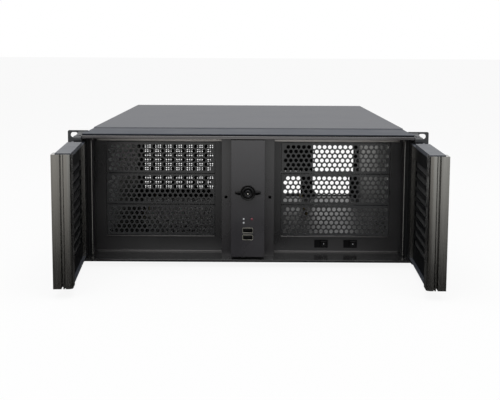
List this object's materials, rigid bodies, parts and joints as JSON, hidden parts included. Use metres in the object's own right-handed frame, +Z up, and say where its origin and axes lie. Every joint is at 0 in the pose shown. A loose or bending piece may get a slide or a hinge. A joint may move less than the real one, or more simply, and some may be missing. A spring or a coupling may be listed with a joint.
{
  "type": "rackmount server case",
  "caption": "Empty black rackmount server case with two vented doors that open beside a lockable control column, perforated drive-bay covers, rack ears and an open rear for supply and board.",
  "frame": {"origin": "on the underside of the case, on its centre line, in the plane where the rack ears seat on the rack posts", "axes": "+Y from the front to the rear, +Z up, +X to the right as seen from the front"},
  "size_m": [0.4826, 0.8875, 0.177],
  "materials": {
    "case_paint": "satin black powder coat",
    "cover_paint": "satin black powder coat",
    "front_aluminium": "satin black paint",
    "ear_paint": "satin black powder coat",
    "front_paint": "matt black paint",
    "mesh_paint": "satin black paint",
    "slot_cover_paint": "satin black paint",
    "cage_steel": "zinc-plated sheet",
    "housing_aluminium": "satin black paint",
    "knob_plastic": "polished black",
    "lock_steel": "dark plated",
    "latch_steel": "zinc-plated",
    "port_steel": "tinned sheet",
    "board_plastic": "solder-masked board",
    "clear_light": "clear light pipe",
    "red_light": "red light",
    "switch_plastic": "moulded black",
    "button_plastic": "moulded black",
    "pin_steel": "blackened",
    "standoff_brass": "turned brass",
    "screw_steel": "black zinc",
    "door_aluminium": "black anodised, fine drawn grain",
    "door_paint": "satin black paint",
    "filter_foam": "open-cell foam",
    "cap_plastic": "moulded black"
  },
  "bodies": {
    "case": {"chassis_tray": "case_paint", "rear_panel": "case_paint", "top_cover": "cover_paint", "front_hood": "cover_paint", "top_rail": "front_aluminium", "bottom_rail": "front_aluminium", "left_post": "front_aluminium", "right_post": "front_aluminium", "left_rack_ear": "ear_paint", "right_rack_ear": "ear_paint", "bay_panel": "front_paint", "left_bay_cage": "cage_steel", "right_bay_cage": "cage_steel", "centre_channel": "front_paint", "centre_housing": "housing_aluminium", "usb_ports": "port_steel", "front_port_board": "board_plastic", "status_light_pipes": "clear_light", "alarm_light": "red_light", "power_switch_body": "switch_plastic", "reset_switch_body": "switch_plastic", "hinge_pins": "pin_steel", "motherboard_standoffs": "standoff_brass", "case_screws": "screw_steel", "left_bay_cover_1": "mesh_paint", "left_bay_cover_2": "mesh_paint", "left_bay_cover_3": "mesh_paint", "right_bay_cover_1": "mesh_paint", "right_bay_cover_2": "mesh_paint", "right_bay_cover_3": "mesh_paint", "slot_cover_1": "slot_cover_paint", "slot_cover_2": "slot_cover_paint", "slot_cover_3": "slot_cover_paint", "slot_cover_4": "slot_cover_paint", "slot_cover_5": "slot_cover_paint", "slot_cover_6": "slot_cover_paint", "slot_cover_7": "slot_cover_paint"},
    "left_door": {"left_door_edge_stile": "door_aluminium", "left_door_hinge_stile": "door_aluminium", "left_door_face_panel": "door_paint", "left_door_inner_panel": "door_paint", "left_door_filter": "filter_foam", "left_door_top_cap": "cap_plastic", "left_door_bottom_cap": "cap_plastic"},
    "right_door": {"right_door_edge_stile": "door_aluminium", "right_door_hinge_stile": "door_aluminium", "right_door_face_panel": "door_paint", "right_door_inner_panel": "door_paint", "right_door_filter": "filter_foam", "right_door_top_cap": "cap_plastic", "right_door_bottom_cap": "cap_plastic"},
    "lock": {"lock_knob": "knob_plastic", "lock_cylinder": "lock_steel", "latch_bar": "latch_steel"},
    "power_button": {"power_button": "button_plastic"},
    "reset_button": {"reset_button": "button_plastic"}
  },
  "joints": [
    {"name": "left_door_hinge", "type": "hinge", "parent": "case", "child": "left_door", "pos_m": [-0.2218, -0.0319, 0], "axis": [0, 0, 1], "range_deg": [-6.9, 86.1]},
    {"name": "right_door_hinge", "type": "hinge", "parent": "case", "child": "right_door", "pos_m": [0.2218, -0.0319, 0], "axis": [0, 0, 1], "range_deg": [-87.8, 5.2]},
    {"name": "lock_turn", "type": "hinge", "parent": "case", "child": "lock", "pos_m": [0, -0.0436, 0.09965], "axis": [0, 1, 0], "range_deg": [0, 90]},
    {"name": "power_button_press", "type": "slide", "parent": "case", "child": "power_button", "axis": [0, 1, 0], "range_m": [0, 0.0015], "stiffness_N_per_m": 400, "springref_m": -0.001},
    {"name": "reset_button_press", "type": "slide", "parent": "case", "child": "reset_button", "axis": [0, 1, 0], "range_m": [0, 0.0015], "stiffness_N_per_m": 400, "springref_m": -0.001}
  ]
}
